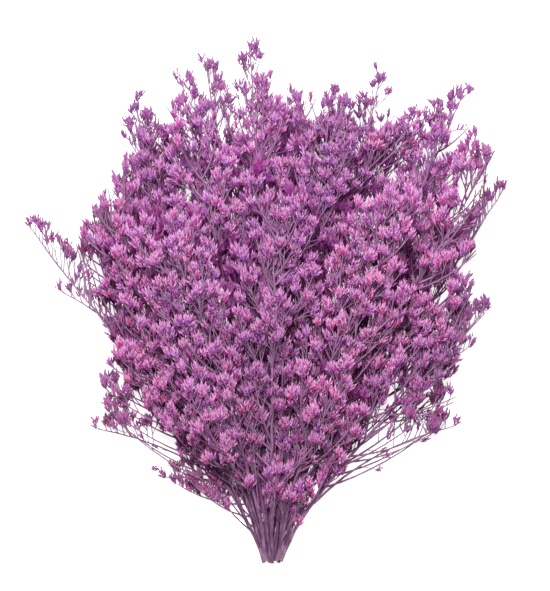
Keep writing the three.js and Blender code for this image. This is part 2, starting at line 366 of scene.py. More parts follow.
# %% Growing the frame's sprays
def grow_branch(spray, k):
    draw, reach, stem = spray["draw"], spray["shape"][1], spray["stem"]
    share = (k + 0.5 + spread(draw, BRANCH_VARIES["place"])) / BRANCHES_A_SPRAY
    wanted_turn = spray["turn"] + k * GOLDEN_ANGLE + spread(draw, BRANCH_VARIES["turn"])
    angle = BRANCH_BEND["angle"] + spread(draw, BRANCH_VARIES["angle"])
    usual = lerp(BRANCH_LENGTHS["low"], BRANCH_LENGTHS["high"], share)
    wanted_length = usual * (1 + spread(draw, BRANCH_VARIES["length"]))
    along = lerp(FIRST_BRANCH / reach, LAST_BRANCH, share)
    foot_radius = min(BRANCH["foot"], THINNER * lerp(STEM["foot"], STEM["tip"], along))
    root, axis = place_on(stem, along)
    for shrink in SHRINKS:
        for t in range(TURNS_TRIED):
            turn = wanted_turn + t * 360 / TURNS_TRIED
            curve = branch_curve(root, axis, angle, turn, wanted_length * shrink)
            twig = twig_along(curve, BRANCH, foot_radius)
            if in_crown(twig["points"][-1]) and grow(twig, stem, spray):
                spray["branches"].append(twig)
                return


def grow_side_spike(spray, parent, k, group):
    draw = spray["draw"]
    place = (k + 0.5 + spread(draw, SPIKE_VARIES["place"])) / group["count"]
    along = lerp(group["from"], group["to"], place)
    wanted_turn = k * GOLDEN_ANGLE + spread(draw, SPIKE_VARIES["turn"])
    angle = SIDE_SPIKE["angle"] + spread(draw, SPIKE_VARIES["angle"])
    length = SIDE_SPIKE["length"] * (1 + spread(draw, SPIKE_VARIES["length"]))
    root, axis = place_on(parent, along)
    for t in range(TURNS_TRIED):
        away = away_from(axis, angle, wanted_turn + t * 360 / TURNS_TRIED)
        belly = rest(root + away * (SIDE_SPIKE["belly"] * length), SPIKE["radius"])
        tip = rest(root + away * length, POINT_RADIUS)
        radii = np.array([0, SPIKE["radius"], 0], float)
        twig = {"points": np.array([root, belly, tip]), "radii": radii}
        if in_crown(tip) and grow(twig, parent, spray):
            spray["side_spikes"].append(twig)
            return


def grow_sprays():
    sprays = []
    for index, shape in enumerate(SPRAYS):
        draw = seeded_random(FIRST_SEED + index)
        turn = 360 * draw()
        sprays.append({"index": index, "shape": shape, "draw": draw, "turn": turn})
        sprays[-1].update(twigs=[], branches=[], side_spikes=[])
    for spray, foot in zip(sprays, foot_points()):
        spray["stem"] = twig_along(stem_curve(foot, spray), STEM, STEM["foot"])
        grow(spray["stem"], None, spray, FOOT_GAP)
    for index, along, lean, reach, height in STRAGGLERS:
        spray = sprays[index]
        root = place_on(spray["stem"], along)[0]
        end = fan_point(lean, reach, height)
        sideways = unit(np.cross(UP, end - root))
        bow = math.copysign(STRAGGLER_BOW * reach, lean)
        curve = bezier(root, lerp(root, end, 0.5) + sideways * bow, end)
        twig = twig_along(curve, {**BRANCH, "lengths": BRANCH["lengths"] + 1}, BRANCH["foot"])
        twig["straggler"] = True
        if grow(twig, spray["stem"], spray):
            spray["branches"].append(twig)
    for k in range(BRANCHES_A_SPRAY):
        for spray in sprays:
            grow_branch(spray, k)
    for k in range(STEM_SPIKES["count"]):
        for spray in sprays:
            grow_side_spike(spray, spray["stem"], k, STEM_SPIKES)
    for k in range(BRANCH_SPIKES["count"]):
        for spray in sprays:
            for branch in spray["branches"]:
                grow_side_spike(spray, branch, k, BRANCH_SPIKES)
    return sprays


sprays = grow_sprays()
tips = np.array([t["points"][-1] for s in sprays for t in s["twigs"]])
# The frame's origin is the middle of its footprint, and its sides and top are spike tips.
SHIFT = np.array([
    CAD_HIGH.x / MM - tips[:, 0].max(),
    CAD_HIGH.y / MM - tips[:, 1].max(),
    0,
])
worst = 0
for spray in sprays:
    high = np.max([t["points"][-1] for t in spray["twigs"]], 0) + SHIFT
    worst = max(worst, abs(high[1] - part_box(f"spray_{spray['index'] + 1:02d}")[1].y / MM))
print("grown again:", sum(len(s["twigs"]) for s in sprays), "twigs, off by", round(worst, 3), "mm")

# %% [markdown]
# ## From branch to calyx
#
# On the plant each branch carries thin twigs. A twig leaves low, turns upwards and forks on its
# way, and every fork ends in a small fan of flower spikes. The lower forks are the longer ones,
# so the spikes of one twig end side by side in a flat-topped head. Ready heads could be scattered
# over a hull, but they would hang on nothing. The rule below grows each on its own stalk instead:
# branch, twig, fork, fan. Growing goes towards +Y, which was up on the plant.
#
# Heads differ from place to place. Inside the crown they are dense. Near its edge they are open,
# and some are missing, so that the outline is feathery. Loose shoots bear the smallest ones.

# %% Sizes of stalks and heads, in millimetres and degrees
FINE_SEED = 7001
GROWS_TOWARDS = np.array([0.0, 1.0, 0.0])
STEM_RADII = (1.6, 0.5)  # at the foot and at the tip, as for the next three
BRANCH_RADII = (1.0, 0.45)
TWIG_RADII = (0.56, 0.42)
FORK_RADII = (0.4, 0.34)
SPIKE_LENGTH = 8.6
SPIKE_SIZES = (0.8, 1.2)
LOWEST_SPIKE = 2.4
HEAD = {"wobble": 7, "tilt": 0.35, "back": (0.4, 1.4)}  # of its spikes, one against another
# Three kinds of twig: spacing of its forks, its bare share, spikes in a head at a fork and at the
# end, half the head's angle, its turn towards growth, how far back its outer spikes stand, and
# the share of such twigs that are there.
DENSE = {"spacing": 4.2, "from": 0.3, "counts": (4, 4, 5), "end_counts": (5, 6),
         "half_angle": 25, "upturn": 0.9, "depth": 3.2, "kept": 1}
OPEN = {"spacing": 9, "from": 0.45, "counts": (3, 3, 4), "end_counts": (4, 5),
        "half_angle": 21, "upturn": 0.6, "depth": 2.2, "kept": 0.62}
TOOTH = {"spacing": 6, "from": 0.35, "counts": (2, 3, 3), "end_counts": (3, 4, 5),
         "half_angle": 22, "upturn": 0.4, "depth": 2.5, "kept": 1}
HEAD_WIDTH = 2 * SPIKE_LENGTH * math.sin(math.radians(DENSE["half_angle"]))
print("a dense head is about", round(HEAD_WIDTH), "mm wide")

# %% Directions and curves of the fine growth
UPPER = {"flattening": 0.9, "chance": 0.7}


def tangent(curve, t, step=0.02):
    return unit(curve(min(t + step, 1)) - curve(max(t - step, 0)))


def line(curve, parts, radii, level):
    """An axis as points, radii in mm and the level of the twig: 0 stem, 1 branch, 2 finer."""
    shares = np.linspace(0, 1, parts + 1)
    points = [rest(curve(t), lerp(*radii, t)) for t in shares]
    return {"points": np.array(points), "radii": lerp(*radii, shares), "level": level}


def bent(root, direction, length, upturn):
    """A twig's curve: it starts in a direction and turns some of the way towards growth."""
    turned = unit(direction + GROWS_TOWARDS * upturn)
    middle = root + direction * (0.5 * length)
    return bezier(root, middle, middle + turned * (0.5 * length))


def upper(axis, angle, turn, rng):
    """A direction off the axis. Most of those that point down are put on the upper side."""
    direction = away_from(axis, angle, turn, UPPER["flattening"])
    points_down = direction[1] < axis[1] * math.cos(math.radians(angle))
    if points_down and rng.random() < UPPER["chance"]:
        direction = away_from(axis, angle, turn + 180, UPPER["flattening"])
    return direction


rises = bent(np.zeros(3), np.array([1.0, 0.0, 0.0]), 20, 1)(1)[1]
print("a level twig of 20 mm that bends half upwards ends", round(float(rises)), "mm higher")

# %% [markdown]
# A real crown has shoulders and gaps where one tuft ends beside the next. Here its edge is lowered
# at some leans, bitten by round notches, and its flanks are left bare, so that only stalks show
# there. Sculpting could do that by hand. Numbers do it for every spray at once, and can be changed
# later. A crowd counter keeps heads from piling up in one place.

# %% Where the fine growth stops, in millimetres and degrees
EDGE_ROOM = 8  # how far past the crown's edge the finest tips may reach
HEAD_ROOM = 8  # the same, upwards
OUTER = 22  # twigs that end this close to the edge are open
SHOULDERS = [  # lean, and room that is added there
    (-38, 0), (-34, -22), (-31, -8), (-28, 0), (-22, 0), (-19, 9), (-15, 0), (26, 0),
    (31, -20), (34, -4), (38, 0),
]
NOTCHES = [  # x, y and radius
    (-157, 254, 14), (-140, 222, 9), (-30, 378, 18), (34, 391, 8), (-94, 391, 8), (74, 390, 12),
    (171, 323, 14), (161, 299, 10), (164, 260, 8), (143, 233, 9), (-138, 320, 5),
]
BARE_FROM = 110  # this far out
BARE_FLANKS = [(-60, -38, 0.84), (33, 42, 0.7), (42, 60, 0.86)]  # leans, and share of the reach
CROWDED = {"cell": 20, "spikes": 70, "column": 2.5}
crowd = {}  # how many spikes each cell of the crown holds


def has_room(point, room, free=False):
    """Fine growth stays in the crown. That of a loose branch is free, but for the crown's top."""
    if free:
        return point[2] <= CROWN_HEIGHT + HEAD_ROOM
    if any(math.hypot(point[0] - x, point[1] - y) < radius for x, y, radius in NOTCHES):
        return False
    room += np.interp(lean_and_reach(point)[0], *zip(*SHOULDERS))
    return in_crown(point * [1, 1, 0], room) and point[2] <= CROWN_HEIGHT + HEAD_ROOM


def on_bare_flank(point):
    lean, reach = lean_and_reach(point)
    return any(start < lean < end and BARE_FROM < reach < share * edge_at(lean)
               for start, end, share in BARE_FLANKS)


def cell_of(point):
    return tuple((point // CROWDED["cell"]).astype(int))


def crowding(point):
    """Spikes in a point's cell, and a share of those above and below it."""
    x, y, z = cell_of(point)
    return crowd.get((x, y, z), 0) + crowd.get((x, y), 0) / CROWDED["column"]


print(len(NOTCHES), "notches and", len(BARE_FLANKS), "bare flanks")


# %% Spikes and their heads
def add_spike(head, root, aim, size, free):
    reach = SPIKE_LENGTH * size
    if has_room(root + aim * reach, EDGE_ROOM, free):
        root[2] = max(root[2], LOWEST_SPIKE)
        aim = unit(np.array([aim[0], aim[1], max(aim[2], (LOWEST_SPIKE - root[2]) / reach)]))
        head["spikes"].append((root, aim, size))
        cell = cell_of(root + aim * (0.5 * reach))
        for key in (cell, cell[:2]):
            crowd[key] = crowd.get(key, 0) + 1


def grow_fan(spray, root, axis, count, rng, free, style, stalk=None):
    """A head: spikes side by side on a fork or a twig's end, the outer ones further back."""
    head = {"at": root, "line": stalk, "spikes": []}
    spray["heads"].append(head)
    axis = unit(axis + GROWS_TOWARDS * style["upturn"])
    side = unit(np.cross(UP + np.array([rng.uniform(-1, 1) for _ in range(3)]), axis))
    wobble, tilt = HEAD["wobble"], HEAD["tilt"]
    for i in range(count):
        share = 2 * i / (count - 1) - 1
        angle = math.radians(share * style["half_angle"] + rng.uniform(-wobble, wobble))
        aim = axis * math.cos(angle) + side * math.sin(angle)
        aim = unit(aim + UP * rng.uniform(-tilt, tilt))
        start = root - axis * (style["depth"] * abs(share) * rng.uniform(*HEAD["back"]))
        add_spike(head, start, aim, rng.uniform(*SPIKE_SIZES), free)


print("spikes of", " to ".join(str(round(SPIKE_LENGTH * x, 1)) for x in SPIKE_SIZES), "mm")

# %% Twigs and their forks
TWIG = {"spacing": 5.8, "angle": 40, "varies": 10, "lengths": (9, 32), "slope": 0.35,
        "uneven": (0.75, 1.2), "upturn": 0.7, "parts": 3}
FORKS = {"angle": 36, "varies": 9, "turn": 40, "out_of_place": 0.25, "lengths": (3, 15),
         "slope": 0.7, "upturn": 0.7}
OTHER_WAY = (60, 300)  # from the first turn that a twig tries to its second one
LAST_TWIG = 0.97  # share of a branch where its last twig leaves
OUT_OF_PLACE = 0.3  # how far a twig may stand from its even place, in spacings


def uneven(rng, i, count, start, end, out_of_place=OUT_OF_PLACE):
    """The place of one of several twigs between two shares of a branch, not quite even."""
    return lerp(start, end, (i + 0.5 + rng.uniform(-out_of_place, out_of_place)) / count)


def grow_twig(spray, root, direction, length, rng, free=False):
    curve = bent(root, direction, length, TWIG["upturn"])
    crowded = crowd.get(cell_of(curve(1)), 0) >= CROWDED["spikes"]
    if crowded or not has_room(curve(1), EDGE_ROOM - SPIKE_LENGTH, free):
        return
    style = TOOTH if free else DENSE if in_crown(curve(1), -OUTER) else OPEN
    if not free and (on_bare_flank(curve(1)) or rng.random() > style["kept"]):
        return
    turn, first = rng.uniform(0, 360), len(spray["heads"])
    count = max(1, round((1 - style["from"]) * length / style["spacing"]))
    least, most = FORKS["lengths"]
    for i in range(count):
        share = uneven(rng, i, count, style["from"], 1, FORKS["out_of_place"])
        angle = FORKS["angle"] + rng.uniform(-1, 1) * FORKS["varies"]
        fork_turn = turn + i * 180 + rng.uniform(-FORKS["turn"], FORKS["turn"])
        leaving = upper(tangent(curve, share), angle, fork_turn, rng)
        fork_length = min(least + FORKS["slope"] * (1 - share) * length, most)
        fork = bent(curve(share), leaving, fork_length, FORKS["upturn"])
        if has_room(fork(1), EDGE_ROOM - SPIKE_LENGTH, free):
            grow_fan(spray, fork(1), tangent(fork, 1), rng.choice(style["counts"]), rng, free,
                     style, line(fork, 1, FORK_RADII, 2))
    grow_fan(spray, curve(1), tangent(curve, 1), rng.choice(style["end_counts"]), rng, free, style)
    if any(head["spikes"] for head in spray["heads"][first:]):
        spray["lines"].append(line(curve, TWIG["parts"], TWIG_RADII, 2))


def grow_twigs(spray, curve, length, start, rng, free=False):
    """Twigs along a branch, longest where much of the branch is still to come."""
    count = max(2, round((1 - start) * length / TWIG["spacing"]))
    turn = rng.uniform(0, 360)
    least, most = TWIG["lengths"]
    for i in range(count):
        share = uneven(rng, i, count, start, 1)
        angle = TWIG["angle"] + rng.uniform(-1, 1) * TWIG["varies"]
        usual = min(least + TWIG["slope"] * (1 - share) * length, most)
        usual *= rng.uniform(*TWIG["uneven"])
        turns = [turn + i * GOLDEN_ANGLE + extra for extra in (0, rng.uniform(*OTHER_WAY))]
        ways = [upper(tangent(curve, share), angle, t, rng) for t in turns]
        direction = min(ways, key=lambda way: crowding(curve(share) + way * usual))
        grow_twig(spray, curve(share), direction, usual, rng, free)
    grow_twig(spray, curve(LAST_TWIG), tangent(curve, LAST_TWIG), least, rng, free)


print("a dense twig of", TWIG["lengths"][1], "mm has",
      round((1 - DENSE["from"]) * TWIG["lengths"][1] / DENSE["spacing"]), "forks")

# %% [markdown]
# The outermost stems and the low side branches hang out almost level, and their twigs all turn up
# to the light, like the teeth of a comb. They get a rule of their own, because twigs on all sides
# would look like a bottle brush.

# %% Combs of twigs
COMB = {"upright": 0.72, "varies": 16, "tilt": 0.3, "slope": 0.25, "uneven": (0.6, 1.25)}


def grow_comb(spray, curve, length, start, spacing, lengths, rng):
    """Twigs on the upper side only. The more level the branch, the wider they stand off it."""
    count = max(2, round((1 - start) * length / spacing))
    least, most = lengths
    for i in range(count):
        share = uneven(rng, i, count, start, LAST_TWIG)
        axis = tangent(curve, share)
        side = unit(np.cross(UP, axis))
        slant = math.degrees(math.acos(min(axis[1], 1)))
        angle = math.radians(COMB["upright"] * slant + rng.uniform(-1, 1) * COMB["varies"])
        out = side * math.copysign(math.sin(angle), side[1])
        out = out + UP * rng.uniform(-COMB["tilt"], COMB["tilt"])
        usual = min(least + COMB["slope"] * (1 - share) * length, most)
        usual *= rng.uniform(*COMB["uneven"])
        grow_twig(spray, curve(share), unit(axis * math.cos(angle) + out), usual, rng, True)
    grow_twig(spray, curve(LAST_TWIG), tangent(curve, LAST_TWIG), least, rng, True)


print("on a level branch a comb's twigs stand at", round(COMB["upright"] * 90), "degrees")

# %% [markdown]
# The frame has seven branches a spray, few enough for solids. A real spray has four times as many.
# Each further one tries a few turns round its stem and takes the emptiest place, which spreads the
# heads as light does on the plant. Thin branches low on the stems then fill the fan above the
# foot. A few sprigs at the neck and a few loose shoots at the crown's top are placed one by one.

# %% More branches than the frame has
MORE_BRANCHES = {"count": 24, "turns": 5, "outwards": 0.75, "shorter": (0.7, 1), "parts": 7}
TWIGS_FROM = 0.2  # share of a branch that is bare


def grow_more_branches(spray, rng):
    """Branches between those of the frame, each into the emptiest place of a few."""
    reach, stem = spray["shape"][1], spray["stem"]["curve"]
    for k in range(MORE_BRANCHES["count"]):
        share = uneven(rng, k, MORE_BRANCHES["count"], 0, 1) ** MORE_BRANCHES["outwards"]
        along = lerp(FIRST_BRANCH / reach, LAST_BRANCH, share)
        length = lerp(BRANCH_LENGTHS["low"], BRANCH_LENGTHS["high"], share)
        length *= rng.uniform(*MORE_BRANCHES["shorter"])
        ways = []
        for shrink in SHRINKS[:2]:
            for _ in range(MORE_BRANCHES["turns"]):
                curve = branch_curve(stem(along), tangent(stem, along), BRANCH_BEND["angle"],
                                     rng.uniform(0, 360), length * shrink)
                if in_crown(curve(1), EDGE_ROOM - SPIKE_LENGTH) and not on_bare_flank(curve(1)):
                    crowded = crowding(curve(0.6)) + crowding(curve(1))
                    ways.append((crowded, length * shrink, curve))
        if ways:
            _, length, curve = min(ways, key=lambda way: way[0])
            spray["lines"].append(line(curve, MORE_BRANCHES["parts"], BRANCH_RADII, 1))
            grow_twigs(spray, curve, length, TWIGS_FROM, rng)


print("further branches to try:", MORE_BRANCHES["count"] * len(sprays))

# %% Thin branches just above the foot
FOOT_BRANCHES = {"count": 4, "from": (6, 50), "angle": 14, "varies": 6, "lengths": (50, 84),
                 "radii": (0.85, 0.4), "parts": 6, "upturn": 0.15, "bare": 0.46, "inner": 8}
RIGHT_SIDE = {"lean": 12, "more": 4, "shorter": 0.75}  # the bunch is looser there


def grow_foot_branches(spray, rng):
    """They leave low at narrow angles. At the fan's sides they all turn inwards."""
    lean, reach, _ = spray["shape"]
    stem, looser = spray["stem"]["curve"], lean > RIGHT_SIDE["lean"]
    varies = FOOT_BRANCHES["varies"]
    for _ in range(FOOT_BRANCHES["count"] + (RIGHT_SIDE["more"] if looser else 0)):
        along = rng.uniform(*FOOT_BRANCHES["from"]) / reach
        root, axis = stem(along), tangent(stem, along)
        angle = FOOT_BRANCHES["angle"] + rng.uniform(-varies, varies)
        direction = away_from(axis, angle, rng.uniform(0, 360), 1)
        if abs(root[0]) > FOOT_BRANCHES["inner"] and (direction[0] - axis[0]) * root[0] > 0:
            direction = unit(2 * axis * float(axis @ direction) - direction)
        length = rng.uniform(*FOOT_BRANCHES["lengths"]) * (RIGHT_SIDE["shorter"] if looser else 1)
        curve = bent(root, direction, length, FOOT_BRANCHES["upturn"])
        spray["lines"].append(line(curve, FOOT_BRANCHES["parts"], FOOT_BRANCHES["radii"], 1))
        grow_twigs(spray, curve, length, FOOT_BRANCHES["bare"], rng)


print("bare part of a thin low branch:",
      [round(FOOT_BRANCHES["bare"] * x) for x in FOOT_BRANCHES["lengths"]], "mm")

# %% Sprigs at the neck, and loose shoots at the top
SPRIG = {"spacing": 3.5, "lengths": (2, 5), "sag": 14, "parts": 6}
SPRIGS = [  # spray, share of its stem, lean, reach, height, and share of the sprig that is bare
    (0, 0.17, -50, 112, 8, 0.3),
    (0, 0.2, -41, 100, 14, 0.3),
    (0, 0.11, -29, 98, 6, 0.5),
    (3, 0.1, -32, 102, 14, 0.55),
    (7, 0.1, -35, 106, 24, 0.6),
    (3, 0.14, -44, 104, 24, 0.3),
    (2, 0.12, 34, 118, 20, 0.3),
    (6, 0.12, 30, 104, 40, 0.3),
]
SHOOTS = [  # spray, share of its stem, lean, reach and height
    (5, 0.55, 17.5, 400, 60), (5, 0.5, 15, 372, 70), (9, 0.6, 17, 385, 95),
    (9, 0.6, 19, 398, 90), (9, 0.7, -1, 405, 92), (5, 0.62, 8, 405, 60),
    (8, 0.7, -18, 384, 75), (11, 0.62, 40, 282, 56), (7, 0.5, -38.5, 214, 50),
]


def grow_sprigs(spray, rng):
    """They sag a little and carry short combs."""
    for index, along, lean, reach, height, bare in SPRIGS:
        if index == spray["index"]:
            root, end = spray["stem"]["curve"](along), fan_point(lean, reach, height)
            curve = bezier(root, lerp(root, end, 0.5) - GROWS_TOWARDS * SPRIG["sag"], end)
            spray["lines"].append(line(curve, SPRIG["parts"], FOOT_BRANCHES["radii"], 1))
            grow_comb(spray, curve, np.linalg.norm(end - root), bare, SPRIG["spacing"],
                      SPRIG["lengths"], rng)


def grow_shoots(spray, rng):
    for index, along, lean, reach, height in SHOOTS:
        if index == spray["index"]:
            root, end = spray["stem"]["curve"](along), fan_point(lean, reach, height)
            curve = bezier(root, lerp(root, end, 0.5), end)
            spray["lines"].append(line(curve, SPRIG["parts"], BRANCH_RADII, 1))
            grow_twigs(spray, curve, np.linalg.norm(end - root), TWIGS_FROM, rng, True)


print(len(SPRIGS), "sprigs and", len(SHOOTS), "shoots")

# %% [markdown]
# A dry stem isn't a smooth rod. It bends a little at each knot, where a branch left, and its
# thickness changes there. A bump would only shade it, so its axis and radii get small random
# steps. Then everything above is called for one spray after the other, the topmost first.

# %% Main stems
CROOKED = {"parts": 24, "by": 0.9, "thinner": 0.85, "thicker": 1.2}


def stem_line(spray):
    """A spray's main stem, which bends a little at its knots and is uneven in thickness."""
    rng = random.Random(FINE_SEED * 3 + spray["index"])
    stem = line(spray["stem"]["curve"], CROOKED["parts"], STEM_RADII, 0)
    for i, point in enumerate(stem["points"][1:-1], 1):
        point += [rng.uniform(-1, 1) * CROOKED["by"], 0, rng.random() * CROOKED["by"]]
        stem["radii"][i] *= rng.uniform(CROOKED["thinner"], CROOKED["thicker"])
    return stem


print("knots on each stem:", CROOKED["parts"] - 1)

# %% Dressing the sprays
STEM_TWIGS_FROM = 0.66
OUTER_LEAN = 30  # stems that lean further and leave the crown carry a comb
OUTER_STEM = {"spacing": 5.5, "lengths": (7, 30), "from": {6: 0.6, 7: 0.77, 11: 0.6}}
STRAGGLER = {"radii": (1.2, 0.5), "lengths": (7, 26),  # the next two for each spray that has one
             "spacing": {0: 5, 3: 6, 6: 6, 7: 6, 11: 6},
             "from": {0: 0.35, 3: 0.62, 6: 0.6, 7: 0.3, 11: 0.6}}
BRANCH_PARTS = 8
SIDE_HEAD = 3  # spikes on each short side stalk of the frame


def dress(spray):
    """Adds to a frame spray its lines (stem, branches, twigs) and its flower spikes."""
    index, (lean, reach, _) = spray["index"], spray["shape"]
    rng = random.Random(FINE_SEED + index)
    stem = spray["stem"]["curve"]
    spray["lines"], spray["heads"] = [stem_line(spray)], []
    if abs(lean) > OUTER_LEAN and not in_crown(stem(1)):
        grow_comb(spray, stem, reach, OUTER_STEM["from"][index], OUTER_STEM["spacing"],
                  OUTER_STEM["lengths"], rng)
    else:
        grow_twigs(spray, stem, reach, STEM_TWIGS_FROM, rng, not in_crown(stem(1)))
    for branch in spray["branches"]:
        curve = branch["curve"]
        length = np.linalg.norm(branch["points"][-3] - branch["points"][0])  # up to its spike
        radii = STRAGGLER["radii"] if branch.get("straggler") else BRANCH_RADII
        spray["lines"].append(line(curve, BRANCH_PARTS, radii, 1))
        if branch.get("straggler"):
            grow_comb(spray, curve, length, STRAGGLER["from"][index],
                      STRAGGLER["spacing"][index], STRAGGLER["lengths"], rng)
        else:
            grow_twigs(spray, curve, length, TWIGS_FROM, rng)
    grow_more_branches(spray, rng)
    grow_foot_branches(spray, rng)
    grow_sprigs(spray, rng)
    grow_shoots(spray, rng)
    for side in spray["side_spikes"]:
        root, belly, _ = side["points"]
        curve = bezier(root, belly)
        grow_fan(spray, belly, tangent(curve, 1), SIDE_HEAD, rng, False, OPEN,
                 line(curve, 2, FORK_RADII, 2))


for spray in reversed(sprays):
    dress(spray)
print("grown:", sum(len(s["heads"]) for s in sprays), "heads")

# %% [markdown]
# ## Leaving out what is hidden
#
# A real bunch has flowers all through. Those deep inside are seen from nowhere, and each costs
# triangles. Rays could test what is hidden, but it is cheaper to ask two things: how deep a head
# lies below the crown's surface, and how many spikes already cover its place from above. The few
# deep heads that close a gap are kept, with every second spike, and drawn larger than real.

# %% Leaving out hidden heads
SHELL = {"depth": 28, "fades": 20, "larger": 2.0, "side": 48, "top": 92}
COVER = {"cell": 4, "spikes": 10, "places": (0.3, 0.8), "thinned": 1.5}

tops = {}  # height of the crown's surface in each cell, as seen from above
for spray in sprays:
    for head in spray["heads"]:
        tops.setdefault(cell_of(head["at"])[:2], []).append(head["at"][2])
tops = {cell: float(np.percentile(heights, SHELL["top"])) for cell, heights in tops.items()}


def shell_depth(point):
    """How deep a point lies below the heads above it, or inside the crown's edge or flanks."""
    lean, reach = lean_and_reach(point)
    flank = reach * math.sin(math.radians(SHELL["side"] - abs(lean)))
    return min(tops.get(cell_of(point)[:2], 0) - point[2], edge_at(lean) - reach, flank)


cover = {}  # how many spikes lie over each small cell
left_out = 0
for spray in sprays:
    spray["spikes"] = []
heads = [(head, spray) for spray in sprays for head in spray["heads"] if head["spikes"]]
for head, spray in sorted(heads, key=lambda pair: -pair[0]["at"][2]):
    buried = shell_depth(head["at"]) - SHELL["depth"]
    places = [root + aim * (share * SPIKE_LENGTH * size)
              for root, aim, size in head["spikes"] for share in COVER["places"]]
    cells = [tuple((place[:2] // COVER["cell"]).astype(int)) for place in places]
    covered = sum(cover.get(cell, 0) for cell in cells) / len(cells)
    if buried > 0 and covered >= COVER["spikes"]:
        left_out += len(head["spikes"])
        continue
    larger = lerp(1, SHELL["larger"], min(max(buried / SHELL["fades"], 0), 1))
    kept = head["spikes"][::2] if larger > COVER["thinned"] else head["spikes"]
    left_out += len(head["spikes"]) - len(kept)
    for cell in cells[:len(COVER["places"]) * len(kept)]:
        cover[cell] = cover.get(cell, 0) + larger ** 2
    spray["spikes"] += [(root, aim, size * larger) for root, aim, size in kept]
    if head["line"]:
        spray["lines"].append(head["line"])
print("left out inside the bunch:", left_out, "flower spikes")
print("fine growth:", sum(len(s["lines"]) for s in sprays), "twigs and",
      sum(len(s["spikes"]) for s in sprays), "flower spikes")

# %% [markdown]
# ## Stalks along their axes
#
# A stalk is a thin tapering rod. It could be a Bezier curve with a bevel, or cylinders end to
# end. Geometry Nodes sweep a circle along thousands of axes at once instead, and each axis point
# carries its own thickness. The circle has fewer corners on the finest twigs, which the eye can't
# tell from round ones. The axes go in as the edges of a guide mesh, with a named value on each
# point for whatever the tree and the finish have to know.

# %% One helper for nodes, and one that runs a tree
def linear(colour):
    """An sRGB hex colour as the linear numbers that Blender wants."""
    channels = [int(colour[i:i + 2], 16) / 255 for i in (1, 3, 5)]
    return [c / 12.92 if c <= 0.04045 else ((c + 0.055) / 1.055) ** 2.4 for c in channels] + [1.0]


def add(tree, kind, values=None, stops=(), **settings):
    """Adds a node. values go on its sockets by name or number: another node's output is linked.
    A ramp also has stops, each a place and an sRGB hex colour."""
    node = tree.nodes.new(kind)
    for name, value in settings.items():
        setattr(node, name, value)
    for key, value in (values or {}).items():
        socket = node.inputs[key]
        if isinstance(value, bpy.types.NodeSocket):
            tree.links.new(value, socket)
        else:
            socket.default_value = value
    while stops and len(node.color_ramp.elements) < len(stops):
        node.color_ramp.elements.new(0.5)
    for i, (place, colour) in enumerate(stops):
        element = node.color_ramp.elements[i]
        element.position, element.color = place, linear(colour)
    return node


def new_tree(name, inputs):
    """A Geometry Nodes tree with named inputs, given as name: (socket kind, default)."""
    tree = bpy.data.node_groups.new(name, "GeometryNodeTree")
    tree.interface.new_socket("Geometry", in_out="INPUT", socket_type="NodeSocketGeometry")
    tree.interface.new_socket("Geometry", in_out="OUTPUT", socket_type="NodeSocketGeometry")
    for label, (kind, default) in inputs.items():
        socket = tree.interface.new_socket(label, in_out="INPUT", socket_type="NodeSocket" + kind)
        if default is not None:
            socket.default_value = default
    return tree, add(tree, "NodeGroupInput").outputs


def made_by(tree, guide, name, **inputs):
    """The plain mesh, as a new object, that a tree makes of a guide mesh."""
    helper = bpy.data.objects.new(name + "_guide", guide)
    bpy.context.scene.collection.objects.link(helper)
    modifier = helper.modifiers.new("made", "NODES")
    modifier.node_group = tree
    for item in tree.interface.items_tree:
        if item.in_out == "INPUT" and item.name in inputs:
            modifier[item.identifier] = inputs[item.name]
    graph = bpy.context.evaluated_depsgraph_get()
    mesh = bpy.data.meshes.new_from_object(helper.evaluated_get(graph))
    helper.modifiers.clear()
    bpy.data.objects.remove(helper)
    bpy.data.meshes.remove(guide)
    piece = bpy.data.objects.new(name, mesh)
    bpy.context.scene.collection.objects.link(piece)
    return piece


def above_table(tree, geometry):
    """Nothing goes through the surface: what would is pressed flat on it."""
    place = add(tree, "GeometryNodeInputPosition").outputs[0]
    place = add(tree, "ShaderNodeSeparateXYZ", {0: place}).outputs
    height = add(tree, "ShaderNodeMath", {0: place["Z"], 1: 0.0}, operation="MAXIMUM").outputs[0]
    moved = add(tree, "ShaderNodeCombineXYZ", {"X": place["X"], "Y": place["Y"], "Z": height})
    return add(tree, "GeometryNodeSetPosition",
               {"Geometry": geometry, "Position": moved.outputs[0]})


print("a middle grey in linear numbers:", [round(c, 3) for c in linear("#808080")[:3]])

# %% The tree that sweeps stalks
ROUNDNESS = {"Stem corners": 8, "Branch corners": 5, "Twig corners": 3}


